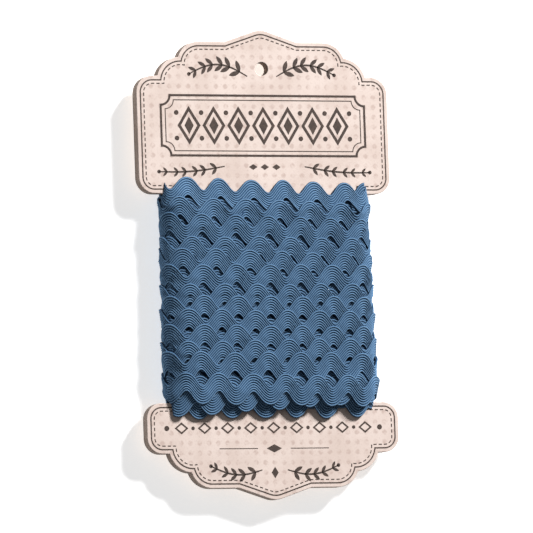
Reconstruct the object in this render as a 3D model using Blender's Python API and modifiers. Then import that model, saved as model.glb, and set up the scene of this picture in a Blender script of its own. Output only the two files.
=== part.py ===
"""Rickrack trim wound on a flat shaped card, lying on its back.

The card is one thick board with a wide head, a narrow neck and a foot. The trim is
wound round the neck from the head down, each turn lapping over the one before it.
Frame: +X to the right, +Y to the head, +Z out of the printed face, origin under the
middle of the card on the plane that the back of the winding rests on.
"""

from math import atan2, cos, pi, radians, sin, sqrt

import bmesh
import bpy
import numpy as np

MM = 0.001
GAP = 0.35

# Card board
BOARD_THICK = 6.0
BOARD_EDGE_ROUND = 0.35
HALF_WIDTH = 69.05
NECK_HALF_WIDTH = 54.4
HEAD_BOTTOM = 36.4
FOOT_TOP = -71.1
SHOULDER = 97.0
FLAT_TOP = 114.8
APEX = 120.9
APEX_RADIUS = 11.4
ROOF_SLOPE_DEG = 18.6
HEAD_LOWER_RADIUS = 8.4
SHOULDER_RADIUS = 8.8
FOOT_UPPER_RADIUS = 8.1
SCALLOP_OUTER = (44.6, 93.7, 13.1)
SCALLOP_INNER = (34.35, 102.8, 12.0)
HANG_HOLE_HEIGHT = 100.9
HANG_HOLE_RADIUS = 3.5
HANG_HOLE_SIDES = 24
ARC_STEP_DEG = 15.0

# Section of the winding round the neck
WOUND_HALF_WIDTH = 58.0
WOUND_HALF_THICK = 9.2
CORNER_ACROSS = 14.0
CORNER_DEEP = 8.6
WAVES_ROUND = 14
STEPS_PER_WAVE = 8
INNER_CORNER_STEP = 25

# Rickrack band
BAND_WIDTH = 9.6
WAVE_HEIGHT = 3.35
EDGE_BLUNTNESS = 0.35
PLY_STEP = 1.0
BAND_TILT = 0.4
POCKET_DEPTH = 1.6
POCKET_LAG = 0.3
LINE_SPACING = 0.3
SIDE_RELIEF = 0.45

# Turns of the outer layer, from the head to the foot
# crest = height of the edge's crests at the middle, fall = drop per mm to the right
# place = where one crest stands along the front, crown = 1 where the band lies flat
TURN_COLUMNS = ("crest", "fall", "place", "crown")
TURNS = (
    (43.2, 0.030, -9.8, 0),
    (34.4, 0.030, 2.4, 0),
    (25.0, 0.030, -3.4, 0),
    (13.8, 0.010, -9.2, 1),
    (6.9, 0.030, -14.3, 0),
    (-0.2, 0.006, -3.9, 0),
    (-10.3, 0.000, -10.2, 1),
    (-16.5, 0.010, -3.2, 0),
    (-23.7, 0.017, -11.8, 0),
    (-31.6, 0.015, -4.0, 1),
    (-38.9, -0.015, -12.3, 0),
    (-45.4, 0.012, -5.8, 0),
    (-56.6, 0.020, -14.4, 0),
)
CROWN_WIDTH = 2.6

# Two turns of the layer below that show under the last turn
LOWER_TURNS = (
    (-58.9, -0.060, -8.8),
    (-62.9, 0.000, -15.8),
)
LOWER_TIER_DROP = (2.9, 3.7)

# How far the winding sinks towards the board near its ends: height, drop
END_TAPER = (
    (-200.0, 0.2),
    (-52.0, 0.2),
    (-40.0, 0.0),
    (18.0, 0.0),
    (30.0, 0.9),
    (38.0, 2.4),
    (44.0, 3.5),
    (200.0, 3.5),
)
SIDE_TAPER = 0.25


def clear_scene():
    """Remove the objects that the file opens with."""
    for obj in list(bpy.data.objects):
        bpy.data.objects.remove(obj, do_unlink=True)


def add_material(name, colour, roughness):
    """A plain Principled material with one colour."""
    material = bpy.data.materials.new(name)
    material.use_nodes = True
    shader = material.node_tree.nodes["Principled BSDF"]
    shader.inputs["Base Color"].default_value = (*colour, 1.0)
    shader.inputs["Roughness"].default_value = roughness
    shader.inputs["Metallic"].default_value = 0.0
    return material


def arc(cx, cy, radius, start_deg, end_deg):
    """Points along an arc from one angle to the other, both ends included."""
    steps = max(2, round(abs(end_deg - start_deg) / ARC_STEP_DEG))
    angles = [radians(start_deg + (end_deg - start_deg) * i / steps) for i in range(steps + 1)]
    return [(cx + radius * cos(a), cy + radius * sin(a)) for a in angles]


def crown_outline(shoulder):
    """Right half of the crown above a shoulder: rounded apex, roof and two scallops."""
    ax, ay, ar = SCALLOP_OUTER
    bx, by, br = SCALLOP_INNER
    apart = sqrt((bx - ax) ** 2 + (by - ay) ** 2)
    along = (ar ** 2 - br ** 2 + apart ** 2) / (2 * apart)
    across = sqrt(ar ** 2 - along ** 2)
    meet_x = ax + along * (bx - ax) / apart + across * (by - ay) / apart
    meet_y = ay + along * (by - ay) / apart + across * (ax - bx) / apart
    end_x = ax + sqrt(ar ** 2 - (shoulder - ay) ** 2)
    inner_end = atan2(meet_y - by, meet_x - bx) * 180 / pi
    outer_start = atan2(meet_y - ay, meet_x - ax) * 180 / pi
    outer_end = atan2(shoulder - ay, end_x - ax) * 180 / pi
    apex_y = APEX - APEX_RADIUS
    points = arc(0.0, apex_y, APEX_RADIUS, 90.0, 90.0 - ROOF_SLOPE_DEG)
    roof_x, roof_y = points[-1]
    flat_x = roof_x + (roof_y - FLAT_TOP) / sin(radians(ROOF_SLOPE_DEG)) * cos(radians(ROOF_SLOPE_DEG))
    points.append((flat_x, FLAT_TOP))
    points += arc(bx, by, br, 90.0, inner_end)
    points += arc(ax, ay, ar, outer_start, outer_end)[1:]
    return points


def board_outline():
    """Closed outline of the board, clockwise from the apex, in mm."""
    wide = HALF_WIDTH
    crown = crown_outline(SHOULDER)
    right = list(crown)
    right += arc(wide - SHOULDER_RADIUS, SHOULDER - SHOULDER_RADIUS, SHOULDER_RADIUS, 90.0, 0.0)
    right += arc(wide - HEAD_LOWER_RADIUS, HEAD_BOTTOM + HEAD_LOWER_RADIUS, HEAD_LOWER_RADIUS, 0.0, -90.0)
    right.append((NECK_HALF_WIDTH, HEAD_BOTTOM))
    right.append((NECK_HALF_WIDTH, FOOT_TOP))
    right += arc(wide - FOOT_UPPER_RADIUS, FOOT_TOP - FOOT_UPPER_RADIUS, FOOT_UPPER_RADIUS, 90.0, 0.0)
    right += arc(wide - FOOT_UPPER_RADIUS, FOOT_UPPER_RADIUS - SHOULDER, FOOT_UPPER_RADIUS, 0.0, -90.0)
    right += [(x, -y) for x, y in reversed(crown)]
    left = [(-x, y) for x, y in reversed(right)]
    return right + left[1:-1]


def circle_points(cx, cy, radius, sides):
    """Corners of a regular polygon that stands for a round hole."""
    angles = [2 * pi * i / sides for i in range(sides)]
    return [(cx + radius * cos(a), cy + radius * sin(a)) for a in angles]


def add_board(collection, material):
    """The board: a flat outline with its hang hole, extruded and slightly rounded."""
    curve = bpy.data.curves.new("card_outline", "CURVE")
    curve.dimensions = "2D"
    curve.fill_mode = "BOTH"
    curve.extrude = (BOARD_THICK / 2) * MM
    hole = circle_points(0.0, HANG_HOLE_HEIGHT, HANG_HOLE_RADIUS, HANG_HOLE_SIDES)
    for points in (board_outline(), hole):
        spline = curve.splines.new("POLY")
        spline.points.add(len(points) - 1)
        for slot, (x, y) in zip(spline.points, points):
            slot.co = (x * MM, y * MM, 0.0, 1.0)
        spline.use_cyclic_u = True
    outline = bpy.data.objects.new("card_outline", curve)
    outline.location.z = WOUND_HALF_THICK * MM
    collection.objects.link(outline)
    graph = bpy.context.evaluated_depsgraph_get()
    mesh = bpy.data.meshes.new_from_object(outline.evaluated_get(graph))
    welded = bmesh.new()
    welded.from_mesh(mesh)
    bmesh.ops.remove_doubles(welded, verts=welded.verts, dist=0.00001)
    bmesh.ops.dissolve_limit(welded, angle_limit=radians(0.5), verts=welded.verts, edges=welded.edges)
    welded.to_mesh(mesh)
    welded.free()
    board = bpy.data.objects.new("card", mesh)
    board.matrix_world = outline.matrix_world
    board.location.z = WOUND_HALF_THICK * MM
    bpy.data.objects.remove(outline, do_unlink=True)
    collection.objects.link(board)
    mesh.materials.clear()
    mesh.materials.append(material)
    rounding = board.modifiers.new("edge_round", "BEVEL")
    rounding.width = BOARD_EDGE_ROUND * MM
    rounding.segments = 1
    rounding.limit_method = "ANGLE"
    rounding.angle_limit = radians(60)
    return board


def section_stations():
    """Points evenly spaced round the winding's section, from the front's middle.

    The section is a box of the stated half width and half thickness whose corners
    are quarter ellipses. Each row is x, z, outward normal x, z and travel along it.
    """
    count = WAVES_ROUND * STEPS_PER_WAVE
    flat = WOUND_HALF_WIDTH - CORNER_ACROSS
    upright = WOUND_HALF_THICK - CORNER_DEEP
    t = np.linspace(0.0, pi / 2, 400)
    x = np.concatenate(([0.0], flat + CORNER_ACROSS * np.sin(t), [WOUND_HALF_WIDTH]))
    z = np.concatenate(([WOUND_HALF_THICK], upright + CORNER_DEEP * np.cos(t), [0.0]))
    nx = np.concatenate(([0.0], np.sin(t) / CORNER_ACROSS, [1.0]))
    nz = np.concatenate(([1.0], np.cos(t) / CORNER_DEEP, [0.0]))
    travel = np.concatenate(([0.0], np.cumsum(np.hypot(np.diff(x), np.diff(z)))))
    quarter = travel[-1]
    place = np.arange(count) * 4 * quarter / count
    side = np.floor(place / quarter).astype(int) % 4
    within = place - side * quarter
    folded = np.where(side % 2 == 0, within, quarter - within)
    sx = np.where(side < 2, 1.0, -1.0)
    sz = np.where((side == 0) | (side == 3), 1.0, -1.0)
    px = np.interp(folded, travel, x) * sx
    pz = np.interp(folded, travel, z) * sz
    mx = np.interp(folded, travel, nx) * sx
    mz = np.interp(folded, travel, nz) * sz
    size = np.hypot(mx, mz)
    return px, pz, mx / size, mz / size, place, 4 * quarter


def inner_points():
    """Matching points on the clear tunnel that the board's neck fills.

    Each quarter has an equal share of points, with one of them on its corner.
    """
    count = WAVES_ROUND * STEPS_PER_WAVE
    quarter = count // 4
    half_x = NECK_HALF_WIDTH + GAP
    half_z = BOARD_THICK / 2 + GAP
    step = np.arange(count)
    side = step // quarter % 4
    within = step % quarter
    folded = np.where(side % 2 == 0, within, quarter - within)
    sx = np.where(side < 2, 1.0, -1.0)
    sz = np.where((side == 0) | (side == 3), 1.0, -1.0)
    past = np.clip((folded - INNER_CORNER_STEP) / (quarter - INNER_CORNER_STEP), 0.0, 1.0)
    x = half_x * np.minimum(folded / INNER_CORNER_STEP, 1.0)
    return x * sx, half_z * (1.0 - past) * sz, folded


def upper_edge(crest, fall, place, x, travel, pitch):
    """Height of a turn's upper edge: broad crests and narrower valleys."""
    phase = 2 * pi * (travel - place) / pitch
    return crest - fall * x - WAVE_HEIGHT + WAVE_HEIGHT * np.cos(phase - EDGE_BLUNTNESS * np.sin(phase))


def lower_edge(crest, fall, place, x, travel, pitch):
    """Height of a turn's lower edge: narrow arches and broad troughs."""
    phase = 2 * pi * (travel - place) / pitch
    middle = crest - fall * x - WAVE_HEIGHT - BAND_WIDTH
    return middle + WAVE_HEIGHT * np.cos(phase + EDGE_BLUNTNESS * np.sin(phase))


def winding_lines():
    """Heights and inward drops of every line round the winding, head to foot."""
    x, _, _, _, travel, around = section_stations()
    pitch = around / WAVES_ROUND
    flat = np.zeros_like(x)
    lines = []
    for index, (crest, fall, place, crown) in enumerate(TURNS):
        top = upper_edge(crest, fall, place, x, travel, pitch)
        bottom = lower_edge(crest, fall, place, x, travel, pitch)
        if index:
            phase = 2 * pi * (travel - place) / pitch
            pocket = POCKET_DEPTH * np.maximum(0.0, -np.cos(phase - POCKET_LAG)) ** 2
            lines.append((top + LINE_SPACING, flat + PLY_STEP + pocket))
        lines.append((top, flat))
        if crown:
            lines.append((top - CROWN_WIDTH, flat))
        if index + 1 < len(TURNS):
            below = upper_edge(*TURNS[index + 1][:3], x, travel, pitch)
            bottom = np.maximum(bottom, below + 3 * LINE_SPACING)
        lines.append((bottom, flat + BAND_TILT))
    last = lines[-1][0]
    tier = last - 2 * LINE_SPACING
    lines.append((tier, flat + LOWER_TIER_DROP[0]))
    rims = [lower_edge(*turn, x, travel, pitch) for turn in LOWER_TURNS]
    rim = np.minimum(np.minimum(rims[0], rims[1]), tier - LINE_SPACING)
    lines.append((rim, flat + LOWER_TIER_DROP[1]))
    return lines


def keep_in_order(heights, folded):
    """Keep the lines apart, and inside the neck where the turns pass its edges."""
    quarter = WAVES_ROUND * STEPS_PER_WAVE // 4
    at_edge = folded >= INNER_CORNER_STEP
    top = np.where(at_edge, HEAD_BOTTOM - GAP, 1000.0)
    low = np.where(at_edge, FOOT_TOP + GAP, -1000.0)
    for line in range(len(heights) - 2, -1, -1):
        heights[line] = np.maximum(heights[line], heights[line + 1] + LINE_SPACING)
    heights[0] = np.minimum(heights[0], top)
    for line in range(1, len(heights)):
        heights[line] = np.minimum(heights[line], heights[line - 1] - LINE_SPACING)
    heights[-1] = np.maximum(heights[-1], low)
    for line in range(len(heights) - 2, -1, -1):
        heights[line] = np.maximum(heights[line], heights[line + 1] + LINE_SPACING)
    assert quarter > INNER_CORNER_STEP
    return heights


def add_winding(collection, material):
    """The wound trim: one ring whose skin follows every turn's edges.

    A point of a line sits on the section, drawn inwards along its normal by the
    line's drop. Drops are smaller at the two narrow sides than on the broad faces.
    """
    px, pz, nx, nz, _, _ = section_stations()
    ix, iz, folded = inner_points()
    lines = winding_lines()
    heights = keep_in_order(np.array([line[0] for line in lines]), folded)
    drops = np.array([line[1] for line in lines])
    taper = np.interp(heights, [row[0] for row in END_TAPER], [row[1] for row in END_TAPER])
    broad = np.abs(nz)
    relief = drops * (SIDE_RELIEF + (1 - SIDE_RELIEF) * broad)
    relief += taper * (SIDE_TAPER + (1 - SIDE_TAPER) * broad)
    outer_x = px - nx * relief
    outer_z = pz - nz * relief
    count = len(px)
    outer = np.stack((outer_x, heights, outer_z), axis=-1)
    inner_foot = np.stack((ix, heights[-1], iz), axis=-1)
    inner_head = np.stack((ix, heights[0], iz), axis=-1)
    rings = np.concatenate((outer, inner_foot[None], inner_head[None]))
    points = rings.reshape(-1, 3) * MM
    points[:, 2] += WOUND_HALF_THICK * MM
    ring_count = len(rings)
    faces = []
    for ring in range(ring_count):
        near = ring * count
        far = (ring + 1) % ring_count * count
        for step in range(count):
            other = (step + 1) % count
            faces.append((near + step, near + other, far + other, far + step))
    mesh = bpy.data.meshes.new("wound_trim")
    mesh.from_pydata([tuple(point) for point in points], [], faces)
    mesh.validate()
    tidy = bmesh.new()
    tidy.from_mesh(mesh)
    bmesh.ops.recalc_face_normals(tidy, faces=tidy.faces)
    tidy.to_mesh(mesh)
    tidy.free()
    winding = bpy.data.objects.new("wound_trim", mesh)
    collection.objects.link(winding)
    mesh.materials.append(material)
    mesh.shade_smooth()
    mesh.set_sharp_from_angle(angle=radians(40))
    return winding


def main():
    """Build the two pieces of the card of trim."""
    clear_scene()
    collection = bpy.data.collections.new("card_of_rickrack")
    bpy.context.scene.collection.children.link(collection)
    board_paint = add_material("printed_board", (0.80, 0.70, 0.64), 0.75)
    trim_cloth = add_material("rickrack", (0.07, 0.15, 0.28), 0.85)
    add_board(collection, board_paint)
    add_winding(collection, trim_cloth)


main()
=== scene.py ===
"""Looks of the card of rickrack trim: printed board, lapping turns of braid, floor and light.

Sizes are in millimetres until a mesh is made. The card lies on its back: +X to the
card's right, +Y to its head, +Z out of the printed face.
"""

import copy
from math import atan2, cos, degrees, pi, radians, sin, sqrt, tan

import bmesh
import bpy
import numpy as np
from mathutils import Matrix, Vector


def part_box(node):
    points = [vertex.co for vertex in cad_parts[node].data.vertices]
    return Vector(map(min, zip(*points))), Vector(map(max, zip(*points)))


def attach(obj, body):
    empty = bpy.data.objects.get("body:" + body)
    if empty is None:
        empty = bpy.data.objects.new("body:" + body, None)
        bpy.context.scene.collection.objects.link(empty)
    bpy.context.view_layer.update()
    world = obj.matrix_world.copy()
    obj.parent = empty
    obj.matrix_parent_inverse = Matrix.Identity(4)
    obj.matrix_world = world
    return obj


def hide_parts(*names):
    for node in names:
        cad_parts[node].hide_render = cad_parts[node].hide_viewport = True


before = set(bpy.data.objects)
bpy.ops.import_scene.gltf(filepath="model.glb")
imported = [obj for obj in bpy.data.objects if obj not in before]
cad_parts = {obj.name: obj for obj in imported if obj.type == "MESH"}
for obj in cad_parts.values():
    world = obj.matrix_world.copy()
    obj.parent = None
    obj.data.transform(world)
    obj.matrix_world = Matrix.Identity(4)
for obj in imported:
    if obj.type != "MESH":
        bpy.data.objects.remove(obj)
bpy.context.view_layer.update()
card_low, card_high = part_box("card")
wound_low, wound_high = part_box("wound_trim")

MM = 0.001

# Board
HALF_WIDTH = card_high.x / MM
APEX = card_high.y / MM
BOARD_FRONT = card_high.z / MM
BOARD_BACK = card_low.z / MM
BOARD_THICK = BOARD_FRONT - BOARD_BACK
MIDDLE = (BOARD_FRONT + BOARD_BACK) / 2
EDGE_ROUND = 0.35
NECK_HALF_WIDTH = 54.4
HEAD_BOTTOM = 36.4
FOOT_TOP = -71.1
SHOULDER = 97.0
FLAT_TOP = 114.8
APEX_RADIUS = 11.4
ROOF_SLOPE = radians(18.6)
HEAD_LOWER_RADIUS = 8.4
SHOULDER_RADIUS = 8.8
FOOT_RADIUS = 8.1
SCALLOP_OUTER = (44.6, 93.7, 13.1)
SCALLOP_INNER = (34.35, 102.8, 12.0)
HOLE_HEIGHT = 100.9
HOLE_RADIUS = 3.5
ARC_STEP = 5.0
WELD = 0.01

# Upward share of a normal above which the paper goes round the rim, and that of a flat face
FACE_TILT = 0.6
FLAT_TILT = 0.99

# Print on the board's face
INK_PROUD = 0.05
INK_SUNK = 0.02
BORDER_INSET = 2.2
BORDER_WIDTH = 0.69
STITCH_INSET = 4.0
STITCH_WIDTH = 0.55
STITCH_LENGTH = 1.75
STITCH_PITCH = 2.9
STEM_WIDTH = 0.95
STEM_STEPS = 24
LEAF_TILT = 44
PLAQUE_MIDDLE = 71.5
LOZENGE_PITCH = 13.6
FOOT_ROW = -84.0
FOOT_PITCH = 6.3
FOOT_RULE = -94.6

# Section of the winding
WOUND_HALF_WIDTH = wound_high.x / MM
WOUND_HALF_THICK = wound_high.z / MM - MIDDLE
CORNER_ACROSS = 14.0
CORNER_DEEP = 8.6
INNER_CORNER_SHARE = 25 / 28
WOUND_DEPTH = WOUND_HALF_THICK - BOARD_THICK / 2
EDGE_RELIEF = 0.18
EDGE_RELIEF_FROM = 5.4

# Rickrack band
BAND_WIDTH = 9.8
WAVE_HEIGHT = 3.35
WAVE_LENGTH = 17.7
EDGE_BLUNTNESS = 0.35
PLY = 0.9
RIDGES = 8
RIDGE_HEIGHT = 0.62
RIDGE_STEPS = 4
SELVEDGE = 0.20
SELVEDGE_SPREAD = 0.13
UNDERSIDE_REACH = 0.985
STEPS_ROUND = 252
FRONT_REACH = 57.0
BAND_LINES = 25
WAVE_SHIFTS = ((-FRONT_REACH, 0.0), (0.0, 2.0), (FRONT_REACH, 0.0))
HEIGHT_DRIFT = 0.35
PHASE_DRIFT = 0.16

# Heights between which the braid stays where it is level with the board, the room that
# it then has past them, and how clear of the board's faces it starts and ends to spread
NOTCH_TOP = 30.0
NOTCH_BOTTOM = -65.0
NOTCH_ROOM = 5.6
CLEAR_START = 0.1
CLEAR_END = 0.7

# How a turn settles on those below: widening and smoothing rounds, sag a round, and the
# steps over which it comes down to its own level where a turn begins
WIDEN_ROUNDS = 4
SMOOTH_ROUNDS = 60
SAG = 0.016
JOIN_STEPS = 12
UNDER_LEVEL = 3.0
OUTER_LEVEL = 5.2
FLOOR_GAP = 0.02

# Turns of the outer layer, head to foot: height of the crests at the middle, drop per mm
# to the right, place of one crest along the front, least lift off the board, and how much
# lower and further right the turn of the layer below lies that shows in the pockets
OUTER_TURNS = (
    (43.6, 0.030, -9.8, 0.0, 11.0, 0.0),
    (33.2, 0.030, 3.5, 0.0, 11.7, -0.7),
    (24.8, 0.030, -2.7, 0.0, 12.1, -0.9),
    (14.0, 0.010, -8.6, 0.0, 11.4, -0.5),
    (6.9, 0.030, -13.7, 0.0, 11.0, 0.2),
    (-0.2, 0.006, -3.3, 0.0, 12.3, -1.0),
    (-10.2, 0.000, -10.2, 0.0, 11.5, 0.4),
    (-16.5, 0.010, -3.2, 0.0, 11.7, -0.4),
    (-23.7, 0.017, -11.8, 0.0, 11.9, 0.3),
    (-31.6, 0.015, -4.0, 0.0, 11.3, -0.5),
    (-38.9, -0.015, -12.3, 0.0, 11.7, 0.3),
    (-45.4, 0.012, -5.8, 0.0, 12.3, -0.9),
    (-56.6, 0.020, -14.4, 3.2, 0.0, 0.0),
)

# Pieces of the outer layer, each from one turn to another
OUTER_PARTS = (
    ("upper_turns", 0, 5),
    ("middle_turns", 5, 9),
    ("lower_turns", 9, 13),
)

# First turn of the layer below, hidden under the first outer turn: crest height, drop,
# crest place and lift
FIRST_UNDER_TURN = (41.0, 0.030, -12.0, 0.0)

# Short tucks of braid that show beside the first turn: crest height, place of the crest
# and the ends of the part that is there, along the front
TUCKS = (
    ("right_tuck", 42.4, 56.6, 45.0, 74.0),
    ("left_tuck", 38.8, -53.4, -74.0, -46.0),
)

# Last two turns of the layer below, which show under the last outer turn, with the same
# four columns
LOWEST_TURNS = (
    (-62.9, 0.000, -15.8, 0.0),
    (-58.9, -0.060, -8.8, 0.0),
)

# Hidden inner turns: height along the card, depth of the heap
CORE_HEAP = (
    (-71.0, 0.15),
    (-67.0, 1.4),
    (-62.0, 2.6),
    (28.0, 2.6),
    (32.0, 1.2),
    (35.0, 0.15),
)

# Hidden inner turns: gap under the turns on them, least depth off the board, and the
# depth that tells where they are level with the board
CORE_GAP = 0.05
CORE_FLOOR = 0.04
CORE_LEVEL = 0.1

# Photograph: card-face point, scale and the camera's three directions
PHOTO_SIDE = 533
PHOTO_MM_PER_PIXEL = 0.513
FACE_MIDDLE_PIXEL = (268.2, 264.3)
CAMERA_RIGHT = Vector((0.9327, -0.0337, 0.3590))
CAMERA_UP = Vector((0.0, 0.9956, 0.0942))
CAMERA_BACK = Vector((-0.3606, -0.0879, 0.9286))
CAMERA_DISTANCE = 4.0
SENSOR = 36.0

# Floor and surround: reach of the floor and brightness of the white surround
FLOOR_REACH = 3000.0
SURROUND = 0.10


def linear(code):
    """A colour given as hex sRGB, as linear red, green, blue and alpha."""
    values = [int(code[i:i + 2], 16) / 255 for i in (1, 3, 5)]
    return [v / 12.92 if v <= 0.04045 else ((v + 0.055) / 1.055) ** 2.4 for v in values] + [1.0]


def add_node(tree, kind, settings=None, **inputs):
    """Add a node; settings are its properties, inputs its sockets, linked or constant."""
    node = tree.nodes.new(kind)
    for name, value in (settings or {}).items():
        setattr(node, name, value)
    for name, value in inputs.items():
        key = int(name[1:]) if name[1:].isdigit() else name.replace("_", " ")
        socket = node.inputs[key]
        if isinstance(value, bpy.types.NodeSocket):
            tree.links.new(value, socket)
        else:
            socket.default_value = value
    return node


def new_material(name):
    """An empty node material with its Principled shader; returns both and the tree."""
    material = bpy.data.materials.new(name)
    material.use_nodes = True
    tree = material.node_tree
    return material, tree, tree.nodes["Principled BSDF"]


def mix(tree, share, first, second):
    """Colour mix of two sockets or colours by a share."""
    node = tree.nodes.new("ShaderNodeMix")
    node.data_type = "RGBA"
    for index, value in ((0, share), (6, first), (7, second)):
        if isinstance(value, bpy.types.NodeSocket):
            tree.links.new(value, node.inputs[index])
        else:
            node.inputs[index].default_value = value
    return node.outputs[2]


def maths(tree, operation, first, second=0.0):
    """One arithmetic step on sockets or numbers."""
    node = add_node(tree, "ShaderNodeMath", {"operation": operation}, _0=first, _1=second)
    return node.outputs[0]


def spread(tree, value, low, high, to_low=0.0, to_high=1.0):
    """Map a value's range to another, clamped and eased."""
    settings = {"interpolation_type": "SMOOTHSTEP", "clamp": True}
    node = add_node(tree, "ShaderNodeMapRange", settings, Value=value)
    for socket, number in zip(node.inputs[1:5], (low, high, to_low, to_high)):
        socket.default_value = number
    return node.outputs[0]


def noise(tree, place, scale, detail=3.0, roughness=0.55):
    """Grey noise at a place, scale in cycles per metre."""
    return add_node(
        tree, "ShaderNodeTexNoise", Vector=place, Scale=scale, Detail=detail, Roughness=roughness
    ).outputs[0]


def paper_material():
    """Printed face paper: pinkish beige with a faint diagonal lattice of spots and foxing."""
    material, tree, shader = new_material("printed_face_paper")
    place = add_node(tree, "ShaderNodeTexCoord").outputs["Object"]
    turned = add_node(tree, "ShaderNodeMapping", Vector=place)
    turned.inputs["Rotation"].default_value = (0.0, 0.0, radians(45))
    turned.inputs["Scale"].default_value = (2 * pi / 0.0072,) * 3
    axes = add_node(tree, "ShaderNodeSeparateXYZ", Vector=turned.outputs[0])
    wave_x = maths(tree, "COSINE", axes.outputs[0])
    wave_y = maths(tree, "COSINE", axes.outputs[1])
    lattice = maths(tree, "MULTIPLY", wave_x, wave_y)
    spots = spread(tree, lattice, 0.15, 0.75)
    cloud = noise(tree, place, 55.0, 4.0)
    patchy = spread(tree, noise(tree, place, 420.0, 3.0, 0.6), 0.38, 0.62, 0.15, 0.75)
    grain = noise(tree, place, 900.0, 3.0, 0.7)
    base = mix(tree, spread(tree, cloud, 0.32, 0.7), linear("#DCCBC2"), linear("#D0BDB3"))
    spotted = mix(tree, maths(tree, "MULTIPLY", spots, patchy), base, linear("#BBA49A"))
    worn = mix(tree, spread(tree, grain, 0.5, 0.8, 0.0, 0.35), spotted, linear("#A38F85"))
    tree.links.new(worn, shader.inputs["Base Color"])
    shader.inputs["Roughness"].default_value = 0.72
    bump = add_node(tree, "ShaderNodeBump", Height=grain, Strength=0.12, Distance=0.0002)
    tree.links.new(bump.outputs[0], shader.inputs["Normal"])
    return material


def board_edge_material():
    """Cut side of grey-brown board: thin layers along the thickness, darker to the back."""
    material, tree, shader = new_material("cut_board_edge")
    place = add_node(tree, "ShaderNodeTexCoord").outputs["Object"]
    axes = add_node(tree, "ShaderNodeSeparateXYZ", Vector=place)
    stretched = add_node(tree, "ShaderNodeMapping", Vector=place)
    stretched.inputs["Scale"].default_value = (120.0, 120.0, 2600.0)
    layers = noise(tree, stretched.outputs[0], 1.0, 4.0, 0.6)
    fibres = noise(tree, place, 1500.0, 3.0, 0.7)
    body = mix(tree, spread(tree, layers, 0.3, 0.7), linear("#8C7B70"), linear("#74655B"))
    depth = spread(tree, axes.outputs[2], BOARD_BACK * MM, (BOARD_BACK + 2.4) * MM, 0.75, 0.0)
    shaded = mix(tree, depth, body, linear("#4C4038"))
    specked = mix(tree, spread(tree, fibres, 0.6, 0.8, 0.0, 0.35), shaded, linear("#9C8A7E"))
    tree.links.new(specked, shader.inputs["Base Color"])
    shader.inputs["Roughness"].default_value = 0.9
    bump = add_node(tree, "ShaderNodeBump", Height=layers, Strength=0.35, Distance=0.0003)
    tree.links.new(bump.outputs[0], shader.inputs["Normal"])
    return material


def board_back_material():
    """Unprinted back of the board: plain warm kraft with short fibres."""
    material, tree, shader = new_material("kraft_board_back")
    place = add_node(tree, "ShaderNodeTexCoord").outputs["Object"]
    cloud = noise(tree, place, 90.0, 4.0)
    fibres = noise(tree, place, 1300.0, 4.0, 0.75)
    body = mix(tree, spread(tree, cloud, 0.3, 0.7), linear("#B39A84"), linear("#A2896F"))
    specked = mix(tree, spread(tree, fibres, 0.58, 0.8, 0.0, 0.5), body, linear("#7E6752"))
    tree.links.new(specked, shader.inputs["Base Color"])
    shader.inputs["Roughness"].default_value = 0.88
    bump = add_node(tree, "ShaderNodeBump", Height=fibres, Strength=0.2, Distance=0.0002)
    tree.links.new(bump.outputs[0], shader.inputs["Normal"])
    return material


def ink_material():
    """Dark brown printing ink, a little uneven as on absorbent paper."""
    material, tree, shader = new_material("brown_printing_ink")
    place = add_node(tree, "ShaderNodeTexCoord").outputs["Object"]
    patches = noise(tree, place, 700.0, 3.0, 0.7)
    colour = mix(tree, spread(tree, patches, 0.35, 0.75), linear("#352720"), linear("#4D3C32"))
    tree.links.new(colour, shader.inputs["Base Color"])
    shader.inputs["Roughness"].default_value = 0.7
    return material


def cotton_material(name, valley_shade, flank, ridge_highlight):
    """Woven cotton braid: ridges of plaited yarn that run along the band.

    The point attribute ridge is 0 in the valleys and 1 on the ridge tops; by it the colour is
    darkened in the valleys as painted shade and lightened on the ridge tops as painted highlight.
    The band's UV map runs along the braid, in centimetres, and across it, in ridges.
    """
    material, tree, shader = new_material(name)
    place = add_node(tree, "ShaderNodeTexCoord")
    ridge = add_node(tree, "ShaderNodeAttribute", {"attribute_name": "ridge"}).outputs["Fac"]
    axes = add_node(tree, "ShaderNodeSeparateXYZ", Vector=place.outputs["UV"])
    along = maths(tree, "MULTIPLY", axes.outputs[0], 2 * pi * 9.0)
    across = maths(tree, "MULTIPLY", axes.outputs[1], pi)
    stitch = maths(tree, "SINE", maths(tree, "ADD", along, across))
    stitch_share = spread(tree, stitch, -1.0, 1.0)
    cloud = noise(tree, place.outputs["Object"], 60.0, 3.0)
    fluff = noise(tree, place.outputs["Object"], 2500.0, 3.0, 0.7)
    # Painted shade in the valleys and painted highlight on the ridge tops, set by the ridge value; the
    # mixes after it add stitches, random mottling and fluff.
    low = mix(tree, spread(tree, ridge, 0.1, 0.7), linear(valley_shade), linear(flank))
    body = mix(tree, spread(tree, ridge, 0.65, 1.0), low, linear(ridge_highlight))
    yarn = mix(tree, maths(tree, "MULTIPLY", stitch_share, 0.14), body, linear(flank))
    toned = mix(tree, spread(tree, cloud, 0.3, 0.7, 0.0, 0.07), yarn, linear(valley_shade))
    hairy = mix(tree, spread(tree, fluff, 0.58, 0.85, 0.0, 0.16), toned, linear(ridge_highlight))
    tree.links.new(hairy, shader.inputs["Base Color"])
    shader.inputs["Roughness"].default_value = 0.85
    shader.inputs["Sheen Weight"].default_value = 0.04
    shader.inputs["Sheen Roughness"].default_value = 0.5
    shader.inputs["Specular IOR Level"].default_value = 0.12
    relief = maths(tree, "ADD", maths(tree, "MULTIPLY", stitch_share, 0.6), fluff)
    bump = add_node(tree, "ShaderNodeBump", Height=relief, Strength=0.22, Distance=0.00012)
    tree.links.new(bump.outputs[0], shader.inputs["Normal"])
    return material


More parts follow.
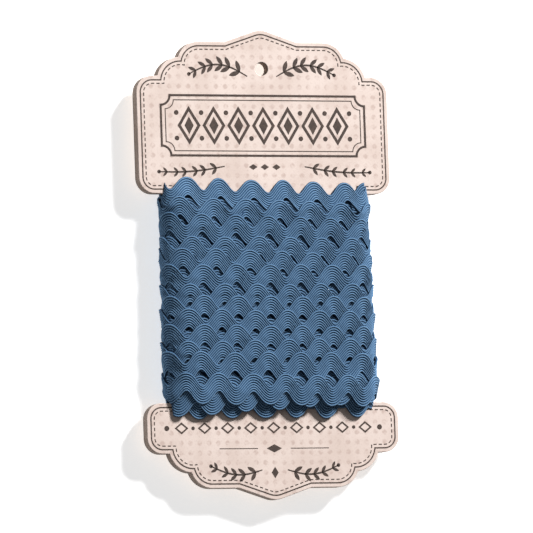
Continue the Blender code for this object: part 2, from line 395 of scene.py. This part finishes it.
def floor_material():
    """Plain white studio sweep."""
    material, tree, shader = new_material("white_studio_floor")
    shader.inputs["Base Color"].default_value = linear("#FBFBFB")
    shader.inputs["Roughness"].default_value = 0.95
    shader.inputs["Emission Color"].default_value = linear("#FFFFFF")
    shader.inputs["Emission Strength"].default_value = 0.62
    return material


def add_mesh(name, points, faces, material):
    """A mesh object from points in mm and faces of any size."""
    mesh = bpy.data.meshes.new(name)
    mesh.from_pydata([tuple(p) for p in np.asarray(points) * MM], [], faces)
    mesh.materials.append(material)
    piece = bpy.data.objects.new(name, mesh)
    bpy.context.scene.collection.objects.link(piece)
    return piece


def arc(cx, cy, radius, start, end):
    """Points along an arc between two angles in degrees, both ends included."""
    steps = max(2, round(abs(end - start) / ARC_STEP))
    angles = [radians(start + (end - start) * i / steps) for i in range(steps + 1)]
    return [(cx + radius * cos(a), cy + radius * sin(a)) for a in angles]


def crown(inset):
    """Right half of the crown above the shoulder, drawn in by an inset."""
    ax, ay, ar = SCALLOP_OUTER
    bx, by, br = SCALLOP_INNER
    ar, br = ar - inset, br - inset
    shoulder, flat = SHOULDER - inset, FLAT_TOP - inset
    apart = sqrt((bx - ax) ** 2 + (by - ay) ** 2)
    along = (ar ** 2 - br ** 2 + apart ** 2) / (2 * apart)
    across = sqrt(ar ** 2 - along ** 2)
    meet_x = ax + (along * (bx - ax) + across * (by - ay)) / apart
    meet_y = ay + (along * (by - ay) + across * (ax - bx)) / apart
    end_x = ax + sqrt(ar ** 2 - (shoulder - ay) ** 2)
    points = arc(0.0, APEX - APEX_RADIUS, APEX_RADIUS - inset, 90.0, 90.0 - degrees(ROOF_SLOPE))
    roof_x, roof_y = points[-1]
    points.append((roof_x + (roof_y - flat) / tan(ROOF_SLOPE), flat))
    points += arc(bx, by, br, 90.0, degrees(atan2(meet_y - by, meet_x - bx)))
    start = degrees(atan2(meet_y - ay, meet_x - ax))
    points += arc(ax, ay, ar, start, degrees(atan2(shoulder - ay, end_x - ax)))[1:]
    return points


def outline(inset=0.0):
    """Closed outline of the board, clockwise from the apex, drawn in by an inset."""
    top = crown(inset)
    lobes = (
        (SHOULDER - SHOULDER_RADIUS, SHOULDER_RADIUS, 90.0, 0.0),
        (HEAD_BOTTOM + HEAD_LOWER_RADIUS, HEAD_LOWER_RADIUS, 0.0, -90.0),
        (FOOT_TOP - FOOT_RADIUS, FOOT_RADIUS, 90.0, 0.0),
        (FOOT_RADIUS - SHOULDER, FOOT_RADIUS, 0.0, -90.0),
    )
    corners = [arc(HALF_WIDTH - r, y, r - inset, start, end) for y, r, start, end in lobes]
    neck = NECK_HALF_WIDTH - inset
    right = top + corners[0] + corners[1]
    right += [(neck, HEAD_BOTTOM + inset), (neck, FOOT_TOP - inset)]
    right += corners[2] + corners[3] + [(x, -y) for x, y in reversed(top)]
    left = [(-x, y) for x, y in reversed(right)]
    return np.array(right + left[1:-1])


def make_board(face, side, back):
    """The board with its hang hole: extruded outline, softly rounded at both rims."""
    curve = bpy.data.curves.new("card_board", "CURVE")
    curve.dimensions = "2D"
    curve.fill_mode = "BOTH"
    curve.extrude = (BOARD_THICK / 2 - EDGE_ROUND) * MM
    curve.bevel_depth = EDGE_ROUND * MM
    curve.bevel_resolution = 2
    curve.offset = -EDGE_ROUND * MM
    hole = arc(0.0, HOLE_HEIGHT, HOLE_RADIUS, 0.0, 360.0)[:-1]
    for points in (outline(), hole):
        spline = curve.splines.new("POLY")
        spline.points.add(len(points) - 1)
        for slot, (x, y) in zip(spline.points, points):
            slot.co = (x * MM, y * MM, 0.0, 1.0)
        spline.use_cyclic_u = True
    drawn = bpy.data.objects.new("card_outline", curve)
    bpy.context.scene.collection.objects.link(drawn)
    graph = bpy.context.evaluated_depsgraph_get()
    mesh = bpy.data.meshes.new_from_object(drawn.evaluated_get(graph))
    bpy.data.objects.remove(drawn, do_unlink=True)
    mesh.transform(Matrix.Translation((0.0, 0.0, MIDDLE * MM)))
    shape = bmesh.new()
    shape.from_mesh(mesh)
    bmesh.ops.remove_doubles(shape, verts=shape.verts, dist=WELD * MM)
    bmesh.ops.recalc_face_normals(shape, faces=shape.faces)
    shape.normal_update()
    for part in shape.faces:
        part.material_index = 1
        if abs(part.normal.z) > FACE_TILT:
            part.material_index = 0 if part.normal.z > 0 else 2
    mesh.materials.clear()
    for material in (face, side, back):
        mesh.materials.append(material)
    shape.to_mesh(mesh)
    shape.free()
    for part in mesh.polygons:
        part.use_smooth = abs(part.normal.z) < FLAT_TILT
    board = bpy.data.objects.new("card_board", mesh)
    bpy.context.scene.collection.objects.link(board)
    return board


class Print:
    """Ink shapes gathered into one closed-surface mesh on the board's face."""

    def __init__(self):
        """Start with no shapes."""
        self.points = []
        self.faces = []

    def fill(self, shape):
        """A filled polygon, given anticlockwise."""
        start, count = len(self.points), len(shape)
        for z in (BOARD_FRONT + INK_PROUD, BOARD_FRONT - INK_SUNK):
            self.points += [(x, y, z) for x, y in shape]
        self.faces.append(tuple(range(start, start + count)))
        self.faces.append(tuple(range(start + 2 * count - 1, start + count - 1, -1)))
        for i in range(count):
            j = (i + 1) % count
            self.faces.append((start + i, start + count + i, start + count + j, start + j))

    def stroke(self, path, width, closed=False, taper=False):
        """A line of even width, or one that tapers to both ends."""
        path = np.asarray(path, float)
        count = len(path)
        if closed:
            ahead, behind = np.roll(path, -1, 0), np.roll(path, 1, 0)
        else:
            ahead = np.vstack((path[1:], 2 * path[-1] - path[-2]))
            behind = np.vstack((2 * path[0] - path[1], path[:-1]))
        first = path - behind
        second = ahead - path
        first /= np.linalg.norm(first, axis=1)[:, None]
        second /= np.linalg.norm(second, axis=1)[:, None]
        normal = np.stack((-(first + second)[:, 1], (first + second)[:, 0]), axis=-1)
        normal /= np.linalg.norm(normal, axis=1)[:, None]
        lean = np.maximum(0.5, -normal[:, 0] * second[:, 1] + normal[:, 1] * second[:, 0])
        half = np.full(count, width / 2)
        if taper:
            half *= np.sqrt(np.sin(pi * np.linspace(0.12, 0.88, count)))
        offset = normal * (half / lean)[:, None]
        start = len(self.points)
        for point, side in zip(path, offset):
            for sign, z in ((1, INK_PROUD), (-1, INK_PROUD), (-1, -INK_SUNK), (1, -INK_SUNK)):
                self.points.append((*(point + sign * side), BOARD_FRONT + z))
        for i in range(count if closed else count - 1):
            near, far = start + 4 * i, start + 4 * ((i + 1) % count)
            for k in range(4):
                m = (k + 1) % 4
                self.faces.append((near + k, near + m, far + m, far + k))
        if not closed:
            last = start + 4 * (count - 1)
            self.faces.append((start + 3, start + 2, start + 1, start))
            self.faces.append((last, last + 1, last + 2, last + 3))


def resample(path, spacing):
    """A path closed up, the travel at its points, and the steps of about a spacing in it."""
    loop = np.vstack((path, path[:1]))
    travel = np.concatenate(([0.0], np.cumsum(np.linalg.norm(np.diff(loop, axis=0), axis=1))))
    return loop, travel, max(1, round(travel[-1] / spacing))


def draw_borders(ink):
    """The unbroken border line and the row of printed stitches inside it."""
    ink.stroke(outline(BORDER_INSET), BORDER_WIDTH, closed=True)
    loop, travel, count = resample(outline(STITCH_INSET), STITCH_PITCH)
    pitch = travel[-1] / count
    for i in range(count):
        marks = i * pitch + np.linspace(0.0, STITCH_LENGTH, 4)
        dash = np.stack([np.interp(marks, travel, loop[:, k]) for k in (0, 1)], axis=-1)
        ink.stroke(dash, STITCH_WIDTH)


def disc(cx, cy, radius, sides=20):
    """Points of a round dot."""
    turns = [2 * pi * i / sides for i in range(sides)]
    return [(cx + radius * cos(a), cy + radius * sin(a)) for a in turns]


def lozenge(cx, cy, half_x, half_y):
    """Points of an upright lozenge."""
    return [(cx + half_x, cy), (cx, cy + half_y), (cx - half_x, cy), (cx, cy - half_y)]


def leaf(cx, cy, length, width, turn):
    """Points of a pointed leaf that starts at a place and leans at an angle in degrees."""
    t = np.linspace(0.0, 1.0, 9)
    side = np.sin(pi * t) ** 0.8 * width / 2
    x = np.concatenate((t, t[-2:0:-1])) * length
    y = np.concatenate((-side, side[-2:0:-1]))
    c, s = cos(radians(turn)), sin(radians(turn))
    return list(zip(cx + x * c - y * s, cy + x * s + y * c))


def draw_sprig(ink, start, end, rise, leaves, leaf_length, side=1):
    """A stem that arches from start to end with pairs of leaves, and a bud at its tip."""
    t = np.linspace(0.0, 1.0, STEM_STEPS + 1)
    x = start[0] + (end[0] - start[0]) * t
    y = start[1] + (end[1] - start[1]) * t + rise * np.sin(pi * t)
    stem = np.stack((x * side, y), axis=-1)
    ink.stroke(stem, STEM_WIDTH, taper=True)
    for i in range(leaves):
        share = (i + 0.8) / (leaves + 0.6)
        at = int(round(share * STEM_STEPS))
        ahead_x, ahead_y = stem[min(at + 1, STEM_STEPS)] - stem[at - 1]
        lean = degrees(atan2(ahead_y, ahead_x))
        size = leaf_length * (1.0 - 0.35 * share)
        for tilt in (LEAF_TILT, -LEAF_TILT):
            ink.fill(leaf(stem[at][0], stem[at][1], size, size * 0.38, lean + tilt))
    ink.fill(disc(stem[-1][0], stem[-1][1], 1.0, 12))


def notched_frame(cx, cy, half_x, half_y, notch):
    """Closed frame line with a quarter circle bitten out of each corner."""
    points = []
    for sx, sy, start in ((1, 1, 270), (-1, 1, 0), (-1, -1, 90), (1, -1, 180)):
        points += arc(cx + sx * half_x, cy + sy * half_y, notch, start, start - 90)
    return points


def draw_head(ink):
    """Plain ornament on the head: leaf sprigs, a notched plaque and a band of lozenges."""
    for side in (-1, 1):
        draw_sprig(ink, (8.0, 97.0), (40.0, 98.0), 5.5, 6, 6.6, side)
        draw_sprig(ink, (22.0, 50.5), (58.0, 47.6), -1.2, 6, 4.6, side)
    ink.stroke(notched_frame(0.0, PLAQUE_MIDDLE, 56.0, 15.5, 5.0), 1.15, closed=True)
    ink.stroke(notched_frame(0.0, PLAQUE_MIDDLE, 53.6, 13.1, 4.6), 0.5, closed=True)
    for i in range(-3, 4):
        x = i * LOZENGE_PITCH
        ink.stroke(lozenge(x, PLAQUE_MIDDLE, 5.4, 8.6), 1.5, closed=True)
        ink.fill(lozenge(x, PLAQUE_MIDDLE, 2.5, 4.6))
    for i in range(-4, 4):
        x = (i + 0.5) * LOZENGE_PITCH
        for rise in (-6.6, 6.6):
            ink.fill(disc(x, PLAQUE_MIDDLE + rise, 1.25))
    for i in range(-1, 2):
        ink.fill(lozenge(i * 6.4, 50.2, 2.3, 1.5))


def draw_foot(ink):
    """Plain ornament on the foot: a row of lozenges and dots, short rules and sprigs."""
    for side in (-1, 1):
        ink.fill(disc(side * 58.4, FOOT_ROW, 1.35))
        draw_sprig(ink, (7.0, -105.6), (35.0, -103.5), -3.4, 5, 5.6, side)
        ink.stroke([(side * 9.0, FOOT_RULE), (side * 30.0, FOOT_RULE)], 0.7, taper=True)
    for i in range(-8, 9):
        x = i * FOOT_PITCH
        if i % 2:
            ink.fill(disc(x, FOOT_ROW, 0.95, 14))
        else:
            ink.stroke(lozenge(x, FOOT_ROW, 3.1, 2.5), 0.85, closed=True)
    ink.fill(lozenge(0.0, FOOT_RULE, 4.2, 2.1))
    ink.fill(lozenge(0.0, -107.0, 1.9, 3.0))


def make_print(material):
    """All the ink on the face as one thin piece."""
    ink = Print()
    draw_borders(ink)
    draw_head(ink)
    draw_foot(ink)
    return add_mesh("printed_ornament", ink.points, ink.faces, material)


def section_tables():
    """A quarter of the winding's section: travel, outer x and z, from the front's middle.

    The section is a box whose corners are quarter ellipses.
    """
    flat = WOUND_HALF_WIDTH - CORNER_ACROSS
    upright = WOUND_HALF_THICK - CORNER_DEEP
    t = np.linspace(0.0, pi / 2, 400)
    x = np.concatenate(([0.0], flat + CORNER_ACROSS * np.sin(t), [WOUND_HALF_WIDTH]))
    z = np.concatenate(([WOUND_HALF_THICK], upright + CORNER_DEEP * np.cos(t), [0.0]))
    travel = np.concatenate(([0.0], np.cumsum(np.hypot(np.diff(x), np.diff(z)))))
    return travel, x, z


TRAVEL, OUTER_X, OUTER_Z = section_tables()
QUARTER = TRAVEL[-1]
AROUND = 4 * QUARTER


def fold(travel):
    """Bring travel round the section into one quarter; returns it and the two signs."""
    place = np.mod(travel, AROUND)
    side = np.floor(place / QUARTER).astype(int) % 4
    within = place - side * QUARTER
    folded = np.where(side % 2 == 0, within, QUARTER - within)
    return folded, np.where(side < 2, 1.0, -1.0), np.where((side == 0) | (side == 3), 1.0, -1.0)


def on_section(travel, depth):
    """World x and z at a travel round the neck and a depth off the board, in mm.

    The depth goes in a straight line from the neck's own box section, at 0, to the
    winding's outer section, at WOUND_DEPTH. The outer plies stand looser at the edges.
    """
    folded, sign_x, sign_z = fold(travel)
    corner = QUARTER * INNER_CORNER_SHARE
    past = np.clip((folded - corner) / (QUARTER - corner), 0.0, 1.0)
    inner_x = NECK_HALF_WIDTH * np.minimum(folded / corner, 1.0)
    inner_z = BOARD_THICK / 2 * (1.0 - past)
    at_edge = np.clip(folded / corner * 5.0 - 4.0, 0.0, 1.0)
    loose = np.maximum(depth - EDGE_RELIEF_FROM, 0.0)
    share = depth / WOUND_DEPTH + loose * EDGE_RELIEF * at_edge
    x = inner_x + (np.interp(folded, TRAVEL, OUTER_X) - inner_x) * share
    z = inner_z + (np.interp(folded, TRAVEL, OUTER_Z) - inner_z) * share
    return x * sign_x, z * sign_z + MIDDLE


def squeeze_at_edges(travel, height, depth):
    """Bunch the band inside the neck where it passes the board's narrow edges.

    Where a ply at the stated depth is level with the board, it stays between the
    head and the foot; where it is clear of the board's faces, it lies over them.
    """
    _, level = on_section(travel, np.full_like(travel, depth))
    clear = np.abs(level - MIDDLE) - BOARD_THICK / 2
    share = np.clip((CLEAR_END - clear) / (CLEAR_END - CLEAR_START), 0.0, 1.0)
    share = share * share * (3 - 2 * share)
    over = np.maximum(height - NOTCH_TOP, 0.0)
    under = np.maximum(NOTCH_BOTTOM - height, 0.0)
    above = NOTCH_ROOM * np.tanh(over / NOTCH_ROOM) - over
    below = NOTCH_ROOM * np.tanh(under / NOTCH_ROOM) - under
    return height + (above - below) * share


def lay_path(turns):
    """Travel, crest height, wave phase and lift along a whole layer of turns.

    Each turn keeps its stated height and crest place along the front and runs on,
    round the back, into the next turn with a whole number of waves between. The waves
    are stretched a little left of the middle and drawn together right of it.
    """
    knots, heights, phases, lifts = [], [], [], []
    carried = 0.0
    for index, (crest, fall, place, lift) in enumerate(row[:4] for row in turns):
        if index:
            change = place - turns[index - 1][2]
            carried += round((AROUND + change) / WAVE_LENGTH)
        for reach, shift in WAVE_SHIFTS:
            knots.append(index * AROUND + reach)
            heights.append(crest - fall * reach)
            phases.append(2 * pi * ((reach - shift - place) / WAVE_LENGTH + carried))
            lifts.append(lift)
    back = (AROUND - 2 * FRONT_REACH) / 2
    travel = (np.arange(len(turns) * STEPS_ROUND + 1) / STEPS_ROUND - 0.5) * AROUND
    spread_out = 2 * pi * back / WAVE_LENGTH
    knots = [knots[0] - back] + knots + [knots[-1] + back]
    phases = [phases[0] - spread_out] + phases + [phases[-1] + spread_out]
    heights = [heights[0]] + heights + [heights[-1]]
    lifts = [lifts[0]] + lifts + [lifts[-1]]
    heights = np.interp(travel, knots, heights) + HEIGHT_DRIFT * wander(travel, 0.0)
    phases = np.interp(travel, knots, phases) + PHASE_DRIFT * wander(travel, 2.0)
    return travel, heights, phases, np.interp(travel, knots, lifts)


def wander(travel, start):
    """A slow uneven drift along the braid, between about -1 and 1."""
    waves = ((37.0, 0.4), (61.0, 0.35), (23.0, 0.25))
    return sum(share * np.sin(2 * pi * travel / length + start * length) for length, share in waves)


def band_heights(crest, phase, across):
    """Height of the band's lines, each a cosine wave along the braid.

    The upper edge is broad on its crests and sharp in its valleys, the lower edge the
    other way round. across runs from -1 at the lower edge to 1 at the upper edge.
    """
    middle = crest - WAVE_HEIGHT - BAND_WIDTH / 2
    wave = np.cos(phase[:, None] - EDGE_BLUNTNESS * across[None, :] * np.sin(phase)[:, None])
    return middle[:, None] + across[None, :] * BAND_WIDTH / 2 + WAVE_HEIGHT * wave


class Heap:
    """Depth of the winding so far, on a grid of travel round the neck and height."""

    low = -86.0
    step = 0.4
    rows = 345

    def __init__(self):
        """Start with the heap of hidden inner turns."""
        self.levels = self.low + self.step * np.arange(self.rows)
        heap = np.interp(self.levels, [row[0] for row in CORE_HEAP], [row[1] for row in CORE_HEAP])
        self.depth = np.repeat(heap[:, None], STEPS_ROUND, axis=1)

    def under(self, columns, heights):
        """Depth under points of the band, read between the grid's levels."""
        place = np.clip((heights - self.low) / self.step, 0.0, self.rows - 1.001)
        row = place.astype(int)
        share = place - row
        wide = np.repeat(columns[:, None], heights.shape[1], axis=1)
        return self.depth[row, wide] * (1 - share) + self.depth[row + 1, wide] * share

    def cover(self, columns, heights, tops):
        """Raise the heap where a turn of the band now lies."""
        for column, height, top in zip(columns, heights, tops):
            inside = (self.levels >= height[0]) & (self.levels <= height[-1])
            laid = np.interp(self.levels[inside], height, top)
            self.depth[inside, column] = np.maximum(self.depth[inside, column], laid)


def neighbours(sheet):
    """The sheet moved one step each way along its two directions, its rim repeated."""
    padded = np.pad(sheet, 1, mode="edge")
    return padded[:-2, 1:-1], padded[2:, 1:-1], padded[1:-1, :-2], padded[1:-1, 2:]


def settle(ground):
    """Lay a taut soft sheet on uneven ground: it bridges hollows and sags a little."""
    sheet = ground.copy()
    for _ in range(WIDEN_ROUNDS):
        sheet = np.maximum.reduce([sheet, *neighbours(sheet)])
    for _ in range(SMOOTH_ROUNDS):
        before, after, below, above = neighbours(sheet)
        sheet = np.maximum(ground, (before + after + below + above) / 4 - SAG)
    return sheet


def lay_turns(heap, turns, level):
    """Lay a layer's turns one after another; returns travel, lines across, heights, depths.

    level is the layer's usual depth, which tells where the board's edges squeeze it.
    """
    travel, crest, phase, lift = lay_path(turns)
    across = np.linspace(-1.0, 1.0, BAND_LINES)
    heights = band_heights(crest, phase, across)
    heights = squeeze_at_edges(travel[:, None], heights, level)
    columns = np.arange(len(travel)) - STEPS_ROUND // 2
    columns = np.mod(columns, STEPS_ROUND)
    depths = np.zeros_like(heights)
    for turn in range(len(turns)):
        run = slice(turn * STEPS_ROUND, (turn + 1) * STEPS_ROUND + 1)
        ground = np.maximum(heap.under(columns[run], heights[run]), lift[run][:, None])
        laid = settle(ground)
        if turn:
            fade = np.clip(1.0 - np.arange(len(laid)) / JOIN_STEPS, 0.0, 1.0)[:, None]
            gap = depths[run.start] - laid[0]
            laid = laid + np.maximum(gap, 0.0)[None, :] * fade
        depths[run] = laid
        heap.cover(columns[run], heights[run], laid + PLY)
    return travel, across, heights, depths


def band_mesh(name, lines, run, along_step, material):
    """A closed mesh of part of a layer, with the braid's ridges along its upper side.

    The valleys between the ridges are cut into the ply, half a sine from one to the
    next. A raised selvedge runs along both sides, where the ply thins to a round edge.
    """
    travel, across, heights, depths = lines
    picks = np.arange(run.start, run.stop, along_step)
    count = RIDGES * RIDGE_STEPS + 1
    fine = np.linspace(-1.0, 1.0, count)
    ridge = np.abs(np.sin(np.linspace(0.0, RIDGES * pi, count)))
    shoulder = np.sqrt(np.clip(1.0 - np.abs(fine) ** 10, 0.0, 1.0))
    top = PLY * (0.3 + 0.7 * shoulder) + RIDGE_HEIGHT * (ridge - 1.0) * shoulder
    top += SELVEDGE * np.exp(-((1.0 - np.abs(fine)) / SELVEDGE_SPREAD) ** 2) * shoulder
    low_across = np.array([UNDERSIDE_REACH, 0.0, -UNDERSIDE_REACH])
    section = np.concatenate((fine, low_across))
    raised = np.concatenate((top, np.zeros(3)))
    height = np.stack([np.interp(section, across, heights[i]) for i in picks])
    depth = np.stack([np.interp(section, across, depths[i]) for i in picks]) + raised
    x, z = on_section(travel[picks][:, None], depth)
    points = np.stack((x, height, np.maximum(z, FLOOR_GAP)), axis=-1)
    rings, size = points.shape[:2]
    ring_start = np.arange(rings - 1)[:, None] * size
    near = (ring_start + np.arange(size)[None, :]).ravel()
    far = (ring_start + (np.arange(size)[None, :] + 1) % size).ravel()
    quads = np.stack((near, far, far + size, near + size), axis=-1)
    faces = [tuple(q) for q in quads.tolist()]
    faces.append(tuple(range(size - 1, -1, -1)))
    faces.append(tuple(range((rings - 1) * size, rings * size)))
    piece = add_mesh(name, points.reshape(-1, 3), faces, material)
    mesh = piece.data
    # The ridge value sets the cotton's painted shade, in the valleys and on the three underside points,
    # and its painted highlight on the ridge tops.
    shade = np.tile(np.concatenate((ridge, np.zeros(3))), rings).astype(np.float32)
    mesh.attributes.new("ridge", "FLOAT", "POINT").data.foreach_set("value", shade)
    along = np.repeat(travel[picks] / 10.0, size)
    across_ridges = np.tile((section + 1) / 2 * RIDGES, rings)
    corner = np.zeros(len(mesh.loops), np.int32)
    mesh.loops.foreach_get("vertex_index", corner)
    places = np.stack((along[corner], across_ridges[corner]), axis=-1).astype(np.float32)
    mesh.uv_layers.new(name="braid").data.foreach_set("uv", places.ravel())
    mesh.shade_smooth()
    return piece


def under_turns():
    """Turns of the layer below: a hidden one, one under each row of pockets, the lowest two."""
    turns = [(crest - drop, fall, place + shift, 0.0)
             for crest, fall, place, _, drop, shift in OUTER_TURNS[:-1]]
    return [FIRST_UNDER_TURN] + turns + list(LOWEST_TURNS)


def make_core(material):
    """The heap of hidden inner turns as one plain ring close to the board."""
    count = STEPS_ROUND // 2
    travel = np.arange(count) * AROUND / count
    rings = []
    for height, depth in CORE_HEAP:
        x, z = on_section(travel, np.full(count, depth - CORE_GAP))
        y = squeeze_at_edges(travel, np.full(count, height), CORE_LEVEL)
        rings.append(np.stack((x, y, z), axis=-1))
    for ring in (rings[-1], rings[0]):
        x, z = on_section(travel, np.full(count, CORE_FLOOR))
        rings.append(np.stack((x, ring[:, 1], z), axis=-1))
    points = np.concatenate(rings)
    faces = []
    for ring in range(len(rings)):
        near, far = ring * count, (ring + 1) % len(rings) * count
        for i in range(count):
            j = (i + 1) % count
            faces.append((near + i, far + i, far + j, near + j))
    piece = add_mesh("inner_turns", points, faces, material)
    # The ridge value is left at 0, so the whole ring takes the painted valley shade of the darker
    # cotton.
    piece.data.attributes.new("ridge", "FLOAT", "POINT")
    return piece


def add_tuck(heap, name, crest, place, start, end, material):
    """A short run of braid laid on the heap at one side, bunched under the first turn."""
    spare = copy.deepcopy(heap)
    lines = lay_turns(spare, [(crest, 0.0, place, 0.0)], OUTER_LEVEL)
    travel, _, heights, depths = lines
    picks = np.flatnonzero((travel >= start) & (travel <= end))
    columns = np.mod(picks - STEPS_ROUND // 2, STEPS_ROUND)
    heap.cover(columns, heights[picks], depths[picks] + PLY)
    return band_mesh(name, lines, range(picks[0], picks[-1] + 1), 1, material)


def make_winding(outer_cotton, shaded_under_cotton):
    """Every piece of the wound trim, from the hidden turns to the outer layer."""
    heap = Heap()
    pieces = [make_core(shaded_under_cotton)]
    turns = under_turns()
    lines = lay_turns(heap, turns, UNDER_LEVEL)
    total = len(turns) * STEPS_ROUND
    tiers = total - len(LOWEST_TURNS) * STEPS_ROUND
    pieces.append(band_mesh("under_turns", lines, range(0, tiers + 1), 2, shaded_under_cotton))
    pieces.append(band_mesh("lowest_turns", lines, range(tiers, total + 1), 1, outer_cotton))
    for name, crest, place, start, end in TUCKS:
        pieces.append(add_tuck(heap, name, crest, place, start, end, shaded_under_cotton))
    lines = lay_turns(heap, OUTER_TURNS, OUTER_LEVEL)
    for name, first, last in OUTER_PARTS:
        run = range(first * STEPS_ROUND, last * STEPS_ROUND + 1)
        pieces.append(band_mesh(name, lines, run, 1, outer_cotton))
    return pieces


def make_floor(material):
    """A wide pale floor under the card."""
    corners = [(x * FLOOR_REACH, y * FLOOR_REACH, 0.0) for x, y in ((-1, -1), (1, -1), (1, 1), (-1, 1))]
    return add_mesh("studio_floor", corners, [(0, 1, 2, 3)], material)


def add_area_light(name, toward, distance, size, power):
    """A square area light that looks at the card's middle from a direction."""
    data = bpy.data.lights.new(name, "AREA")
    data.size = size
    data.energy = power
    light = bpy.data.objects.new(name, data)
    direction = Vector(toward).normalized()
    light.location = Vector((0.0, 0.0, MIDDLE * MM)) + direction * distance
    light.rotation_euler = direction.to_track_quat("Z", "Y").to_euler()
    bpy.context.scene.collection.objects.link(light)


def seen(right, up, back):
    """A direction given in the camera's right, up and back, in the card's frame."""
    return right * CAMERA_RIGHT + up * CAMERA_UP + back * CAMERA_BACK


def add_lights():
    """Key from the upper right in front, a broad fill, and a white surround."""
    add_area_light("key", seen(0.657, 0.708, 0.256), 4.0, 0.75, 335.0)
    add_area_light("fill", seen(-0.2, 0.2, 0.95), 2.0, 1.6, 3.0)
    world = bpy.data.worlds.new("surround")
    bpy.context.scene.world = world
    world.use_nodes = True
    background = world.node_tree.nodes["Background"]
    background.inputs["Color"].default_value = (1.0, 1.0, 1.0, 1.0)
    background.inputs["Strength"].default_value = SURROUND


def add_camera():
    """A far camera with a long lens, turned as the photograph's was to the card's face."""
    half = PHOTO_SIDE / 2
    right = (FACE_MIDDLE_PIXEL[0] - half) * PHOTO_MM_PER_PIXEL * MM
    up = (half - FACE_MIDDLE_PIXEL[1]) * PHOTO_MM_PER_PIXEL * MM
    face = Vector((0.0, 0.0, BOARD_FRONT * MM))
    axis = face - right * CAMERA_RIGHT - up * CAMERA_UP
    data = bpy.data.cameras.new("photo_camera")
    data.sensor_width = SENSOR
    data.lens = SENSOR * CAMERA_DISTANCE / (PHOTO_SIDE * PHOTO_MM_PER_PIXEL * MM)
    data.clip_end = 20.0
    camera = bpy.data.objects.new("photo_camera", data)
    turn = Matrix((CAMERA_RIGHT, CAMERA_UP, CAMERA_BACK)).transposed()
    camera.matrix_world = Matrix.Translation(axis + CAMERA_BACK * CAMERA_DISTANCE) @ turn.to_4x4()
    bpy.context.scene.collection.objects.link(camera)
    bpy.context.scene.camera = camera


def main():
    """Dress the frame: board, print, trim, floor, lights and camera."""
    bpy.context.scene.view_settings.view_transform = "Standard"
    board = make_board(paper_material(), board_edge_material(), board_back_material())
    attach(board, "root")
    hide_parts("card")
    ornament = make_print(ink_material())
    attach(ornament, "root")
    # The first and last colours of each cotton are the painted shade of the valleys and the painted
    # highlight of the ridge tops.
    outer_cotton = cotton_material("blue_rickrack_cotton", "#142F4D", "#456788", "#6F8FAD")
    # A slightly darker copy of the cotton: painted shade for the turns under the outer layer, the tucks
    # and the inner ring.
    shaded_under_cotton = cotton_material("shaded_rickrack_cotton", "#102842", "#3E5E7D", "#6482A0")
    for piece in make_winding(outer_cotton, shaded_under_cotton):
        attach(piece, "root")
        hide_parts("wound_trim")
    make_floor(floor_material())
    add_lights()
    add_camera()


main()
